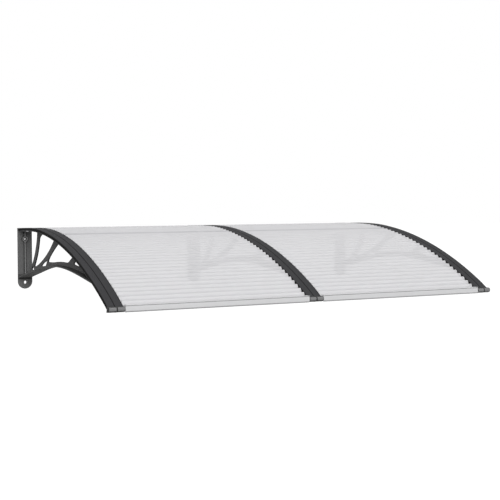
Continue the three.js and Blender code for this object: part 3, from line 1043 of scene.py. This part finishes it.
def near_boss(make, x, z, reach):
    """1 up to the boss's radius round the upper hole, falling to 0 at a reach beyond it."""
    square = x * x + (z - UPPER_HOLE[0]) * (z - UPPER_HOLE[0])
    return 1.0 - step(make, square, BOSS_RADIUS ** 2, (BOSS_RADIUS + reach) ** 2)


def boss_corner(make, x, out, z):
    behind = within(make, out, PLATE_THICK - EDGE_BLUR, BOSS_OUT - 2 * EDGE_BLUR, EDGE_BLUR)
    return near_boss(make, x, z, CORNER_REACH) * behind


def boss_edge(make, x, out, z):
    in_front = within(make, out, BOSS_OUT - EDGE_BLUR, BOSS_OUT + EDGE_BLUR, EDGE_BLUR)
    return near_boss(make, x, z, EDGE_BLUR) * in_front


print("masks for the plate ready")

# %% [markdown]
# ### Finish of the brackets
#
# Later tints cover earlier ones, so the broad shades come first and the lit edges last.

# %% Brackets
CORNER_TONE = grey(0.025)
EDGE_TONE = grey(0.19)
PLATE_TONE = grey(0.118)
ROOT_TONE = grey(0.062)
UNDERSIDE_TONE = grey(0.135)
CUT_TONE = grey(0.008)

bracket_plastic = dark_plastic("moulded_black", (0.1, 0.1, 0.101), 0.65, 0.02, tints=(
    (facing_up, CORNER_TONE, 0.8),
    (facing_down, UNDERSIDE_TONE, 1.0),
    (cut_faces, CUT_TONE, 0.85),
    (plate_face, PLATE_TONE, 1.0),
    (arm_root, ROOT_TONE, 1.0),
    (rib_corners, CORNER_TONE, 0.75),
    (boss_corner, CORNER_TONE, 0.6),
    (arm_corner, CORNER_TONE, 0.85),
    (rib_edge, EDGE_TONE, 1.0),
    (boss_edge, EDGE_TONE, 1.0),
))
for name in STATIONS:
    add_piece(f"{name}_moulding", moulding, bracket_plastic, f"bracket_{name}",
              (PLATE_X[name], 0.0, 0.0))
print("brackets:", len(STATIONS), "in", bracket_plastic.name)

# %% [markdown]
# ## Front caps
#
# A cap's side view is a small rounded nose with a chin, and it keeps that outline over the whole
# width of the strip: it draws in at both ends and at the middle groove. Rings across X, each with
# its own inset, give that form.

# %% Side view of a cap
CAP_TOP_ROUND = 0.009
CAP_CHIN = 0.011
CAP_CHIN_RISE = 0.0045
CAP_LIP_THICK = 0.0026
CAP_JAW_THICK = 0.0046
SHEET_GRIP = 0.0065
SHEET_BOTTOM = 0.0081
CAP_TOP = arch_up(0, CAP_REAR)
JAW_TOP = arch_up(SHEET_BOTTOM, CAP_REAR + SHEET_GRIP) - FIT_GAP
CAP_BOTTOM = JAW_TOP - CAP_JAW_THICK


def cap_outline(inset):
    slot_front = CAP_REAR + SHEET_GRIP + FIT_GAP
    front, top, bottom = DEPTH - inset, CAP_TOP - inset, CAP_BOTTOM + inset / 2
    corners = [
        (CAP_REAR, top, 0),
        (front, top, CAP_TOP_ROUND),
        (front, bottom + CAP_CHIN_RISE, CAP_CHIN_RISE),
        (front - CAP_CHIN, bottom, CAP_CHIN_RISE),
        (CAP_REAR, bottom, 0),
        (CAP_REAR, JAW_TOP, 0),
        (slot_front, JAW_TOP, 0),
        (slot_front, CAP_TOP - CAP_LIP_THICK, 0),
        (CAP_REAR, CAP_TOP - CAP_LIP_THICK, 0),
    ]
    return rounded([(Vector((out, up)), rounding) for out, up, rounding in corners])


print("cap height:", round(CAP_TOP - CAP_BOTTOM, 4), "m")

# %% [markdown]
# ### The caps' form
#
# A tongue reaches back under the arch flange, where the cap's screw holds it. The slot in the nose
# takes the sheet's front edge. On the outer caps a plug closes the slot's end, as no bar is beside
# it there.

# %% Shape of the caps
CAP_SIDE_ROUND = 0.0015
CAP_SIDE_STEPS = 4
CAP_SIDE_SHARE = 0.7
CAP_GROOVE = (0.0014, 0.0024)
TONGUE_HALF = 0.004
TONGUE_THICK = 0.0025
TONGUE_ROUND = 0.0004
TONGUE_REAR = 0.038
TONGUE_ROOT = 0.004
TONGUE_RINGS = 9
PLUG_ENDS = (0.0026, 0.0004)
PLUG_REAR = 0.0004
PLUG_FRONT = 0.0008
PLUG_OVERLAP = 0.0005


def cap_tongue():
    top = FLANGE_BOTTOM + FIT_GAP
    section = band(TONGUE_HALF, top, top + TONGUE_THICK, TONGUE_ROUND)
    return skin(along_arch(section, CAP_REAR - TONGUE_REAR, CAP_REAR + TONGUE_ROOT, TONGUE_RINGS))


def cap_plug(side):
    rear, front = CAP_REAR + PLUG_REAR, CAP_REAR + SHEET_GRIP + PLUG_FRONT
    low, high = JAW_TOP - PLUG_OVERLAP, CAP_TOP - CAP_LIP_THICK + PLUG_OVERLAP
    outline = [(rear, low), (front, low), (front, high), (rear, high)]
    return skin([[(side * (STRIP_HALF - x), -out, up) for out, up in outline] for x in PLUG_ENDS])


def cap_mesh(outer_side):
    turns = [math.pi / 2 * i / CAP_SIDE_STEPS for i in range(CAP_SIDE_STEPS + 1)]
    right = [(CAP_GROOVE[0], GROOVE_DEPTH), (CAP_GROOVE[1], 0.0)]
    right += [(STRIP_HALF - CAP_SIDE_ROUND * (1 - math.sin(a)),
               CAP_SIDE_ROUND * (1 - math.cos(a)) * CAP_SIDE_SHARE) for a in turns]
    insets = [(-x, inset) for x, inset in reversed(right)] + right
    body = skin([[(x, -p.x, p.y) for p in cap_outline(inset)] for x, inset in insets])
    joins = [cap_tongue()]
    if outer_side:
        joins.append(cap_plug(outer_side))
    return carve(body, joins=joins)


print("cap helpers ready")

# %% [markdown]
# ### Finish of the caps
#
# The middle of the nose is painted a lighter grey than the strips, as a painted highlight of the
# front light. Its ends, its groove, the edge above and the foot below turn away from the light and
# are painted nearly black as shade.

# %% Front caps
CAP_BLACK = grey(0.035)
BLACK_END = (0.0022, 0.0014)
BLACK_MIDDLE = (0.0022, 0.0028)
BLACK_FOOT = 0.0012
BLACK_BROW = 0.002
CAP_BLUR = 0.0012


def cap_ends(make, x, out, z):
    return step(make, abs(x), STRIP_HALF - BLACK_END[0], STRIP_HALF - BLACK_END[1])


def cap_groove(make, x, out, z):
    return 1.0 - step(make, abs(x), *BLACK_MIDDLE)


def cap_foot_and_brow(make, x, out, z):
    return 1.0 - within(make, z, CAP_BOTTOM + CAP_CHIN_RISE + BLACK_FOOT, CAP_TOP - BLACK_BROW, CAP_BLUR)


# Painted highlight: the cap's grey, far lighter than the strips; painted shade at its ends, groove, brow
# and foot.
highlit_cap_plastic = dark_plastic("cap_grey", (0.18, 0.18, 0.183), 0.5, 0.05, tints=(
    (cap_ends, CAP_BLACK, 1.0),
    (cap_groove, CAP_BLACK, 1.0),
    (cap_foot_and_brow, CAP_BLACK, 1.0),
))
for name, outer_side in zip(STATIONS, (-1, 0, 1)):
    cap = add_piece(f"{name}_nose", cap_mesh(outer_side), highlit_cap_plastic, f"front_cap_{name}",
                    (PLATE_X[name], 0.0, 0.0))
    print(cap.name, len(cap.data.polygons), "faces")

# %% [markdown]
# ## Metal
#
# The front bars are drawn aluminium with a pale satin coat: fine lines run along them. The screws
# are zinc plated, brighter and a little mottled. Both are one noise of fine lines and one of larger
# clouds; what differs is how far the lines are stretched.

# %% Metal
DRAWN_PER_METRE = 700.0
DRAWN_HEIGHT = 0.0001
DRAWN_BUMP = 0.12
DRAWN_SHADE = 0.7
DRAWN_GLOSS = 0.2
MOTTLES_PER_METRE = 40.0
MOTTLE_SHADE = 0.4
METAL_SPREAD = 0.07


def drawn_metal(name, tone, roughness, metallic, stretch, tints=()):
    material, make = new_finish(name)
    place = make.place()
    lines = make.noise(make.stretched(place, stretch), DRAWN_PER_METRE, 3.0)
    cloud = make.noise(place, MOTTLES_PER_METRE, 2.0)
    shade = 0.5 + (lines - 0.5) * DRAWN_SHADE + (cloud - 0.5) * MOTTLE_SHADE
    dark = [(1 - METAL_SPREAD) * level for level in tone]
    light = [(1 + METAL_SPREAD) * level for level in tone]
    colour = make.mix(shade, (*dark, 1.0), (*light, 1.0))
    bump = make.node("Bump", inputs={"Height": lines, "Strength": DRAWN_BUMP, "Distance": DRAWN_HEIGHT})
    surface = make.node("BsdfPrincipled", inputs={
        "Base Color": tinted(make, colour, tints),
        "Metallic": metallic,
        "Roughness": roughness + (lines - 0.5) * DRAWN_GLOSS,
        "Normal": bump,
    })
    show(make, surface)
    return material


print("metal helper ready")

# %% [markdown]
# ## Front bars
#
# A bar is a channel with one outline from end to end, so two ends and a few rings between them are
# enough. Its upper edge stands higher than the caps, a dark crease runs along its face just below
# that edge, and the face curls under to a short drip edge that stays in shade.

# %% Outline of the bars
BAR_SETBACK = 0.002
BAR_WALL = 0.0018
BAR_DRIP = 0.003
BAR_RAISE = 0.0045
BAR_ROUND = 0.0008
BAR_CURL = 0.0052
BAR_GROOVE = 0.0022
BAR_GROOVE_DEEP = 0.0014
BAR_CREASE_GAP = 0.0002
BAR_LIP = 0.0012
BAR_INNER_ROUND = 0.003
BAR_EDGE_ROUND = 0.0005
BAR_TIP_ROUND = 0.0004
BAR_TOP = CAP_TOP - FIT_GAP + BAR_RAISE
BAR_CREASE = BAR_TOP - BAR_ROUND - BAR_CREASE_GAP
BAR_BOTTOM = JAW_TOP - BAR_WALL - BAR_DRIP


def bar_outline():
    front, rear = DEPTH - BAR_SETBACK, CAP_REAR + FIT_GAP
    wall, groove, curl = front - BAR_WALL, front - BAR_GROOVE_DEEP, front - BAR_CURL
    inner, jaw_under = BAR_BOTTOM + BAR_LIP, JAW_TOP - BAR_WALL
    corners = [
        (rear, BAR_TOP, BAR_EDGE_ROUND),
        (front, BAR_TOP, BAR_ROUND),
        (front, BAR_CREASE, 0),
        (groove, BAR_CREASE, 0),
        (groove, BAR_CREASE - BAR_GROOVE, 0),
        (front, BAR_CREASE - BAR_GROOVE, 0),
        (front, BAR_BOTTOM, BAR_CURL),
        (curl, BAR_BOTTOM, BAR_TIP_ROUND),
        (curl, inner, BAR_TIP_ROUND),
        (wall, inner, BAR_INNER_ROUND),
        (wall, jaw_under, 0),
        (rear, jaw_under, BAR_EDGE_ROUND),
        (rear, JAW_TOP, 0),
        (wall, JAW_TOP, 0),
        (wall, BAR_TOP - BAR_WALL, 0),
        (rear, BAR_TOP - BAR_WALL, 0),
    ]
    return rounded([(Vector((out, up)), rounding) for out, up, rounding in corners], steps=5)


print("points in the bar's outline:", len(bar_outline()))

# %% [markdown]
# ### Finish of the bars
#
# The crease is so narrow that light fills it, so its inside is painted dark as shade to keep it
# visible. The curled drip edge gets a painted soft shade.

# %% Front bars
BAR_RINGS = 5
CREASE_SHADE_SHARE = 0.47
CREASE_SHADE_TONE = (0.25, 0.25, 0.253, 1.0)
FOOT_TONE = (0.16, 0.16, 0.164, 1.0)
FOOT_START = 0.0015
FOOT_REACH = 0.004


def bar_crease_shade(make, x, out, z):
    return make.maths("LESS_THAN", abs(z - (BAR_CREASE - BAR_GROOVE / 2)), BAR_GROOVE * CREASE_SHADE_SHARE)


def bar_foot(make, x, out, z):
    low = BAR_BOTTOM + FOOT_START
    return 1.0 - step(make, z, low, low + FOOT_REACH)


# Painted shade in the crease and on the curled drip edge.
bar_finish = drawn_metal("pale_aluminium", (0.54, 0.54, 0.548), 0.45, 0.25, (0.01, 1.0, 1.0), tints=(
    (bar_crease_shade, CREASE_SHADE_TONE, 1.0),
    (bar_foot, FOOT_TONE, 0.8),
))
for side in ("left", "right"):
    low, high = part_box(f"front_bar_{side}")
    mesh = skin([[(x, -p.x, p.y) for p in bar_outline()] for x in spread(low.x, high.x, BAR_RINGS)])
    bar = add_piece(f"{side}_bar", mesh, bar_finish, f"front_bar_{side}")
    print(bar.name, len(bar.data.polygons), "faces")

# %% [markdown]
# ## Screws
#
# Small pan-head screws come up through the arch flange from below, so only their heads show. One
# screw is turned as rings along its axis, gets a cross recess, and is used for every place.

# %% Shape of a screw
HEAD_RADIUS = 0.004
HEAD_HEIGHT = 0.0024
HEAD_RIM = 0.0008
SHANK_RADIUS = 0.0018
SHANK_LENGTH = 0.006
TURN_STEPS = 24
RECESS = (0.0024, 0.0006, 0.0012)
RECESS_CLEAR = 0.001


def screw_mesh():
    profile = [(SHANK_RADIUS, SHANK_LENGTH), (SHANK_RADIUS, 0.0), (HEAD_RADIUS, 0.0)]
    profile += [(HEAD_RADIUS * math.cos(a), -HEAD_RIM - (HEAD_HEIGHT - HEAD_RIM) * math.sin(a))
                for a in (math.radians(15 * i) for i in range(5))]
    turns = [2 * math.pi * i / TURN_STEPS for i in range(TURN_STEPS)]
    body = skin([[(r * math.cos(a), r * math.sin(a), z) for a in turns] for r, z in profile])
    reach, half, depth = RECESS
    ends = (-HEAD_HEIGHT - RECESS_CLEAR, depth - HEAD_HEIGHT)
    blades = [
        skin([[(-x, -y, z), (x, -y, z), (x, y, z), (-x, y, z)] for z in ends])
        for x, y in ((reach, half), (half, reach))
    ]
    return carve(body, cuts=blades)


pan_head = screw_mesh()
print("screw mesh:", len(pan_head.polygons), "faces")

# %% [markdown]
# ### Places of the screws
#
# Each screw stands where its solid is and leans with the arch. The caps' screws sit lower by the
# thickness of the cap's tongue.

# %% Screws
CAP_SCREW_DROP = 0.0028

screw_finish = drawn_metal("zinc_plate", (0.62, 0.62, 0.64), 0.35, 0.9, (1.0, 1.0, 1.0))
screw_nodes = sorted(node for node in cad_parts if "screw" in node)
for node in screw_nodes:
    low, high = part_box(node)
    out = -(low.y + high.y) / 2
    head_depth = FLANGE_BOTTOM + FIT_GAP + (CAP_SCREW_DROP if node.startswith("cap_") else 0.0)
    screw = add_piece(f"{node}_head", pan_head, screw_finish, node,
                      (centre_x(node), -out, arch_up(head_depth, out)))
    screw.rotation_euler.x = math.asin((out - ARCH_APEX_OUT) / ARCH_RADIUS)
print("screws:", len(screw_nodes), "in", screw_finish.name)

# %% [markdown]
# ## End of the scene

# %% End of the scene
print("scene built")
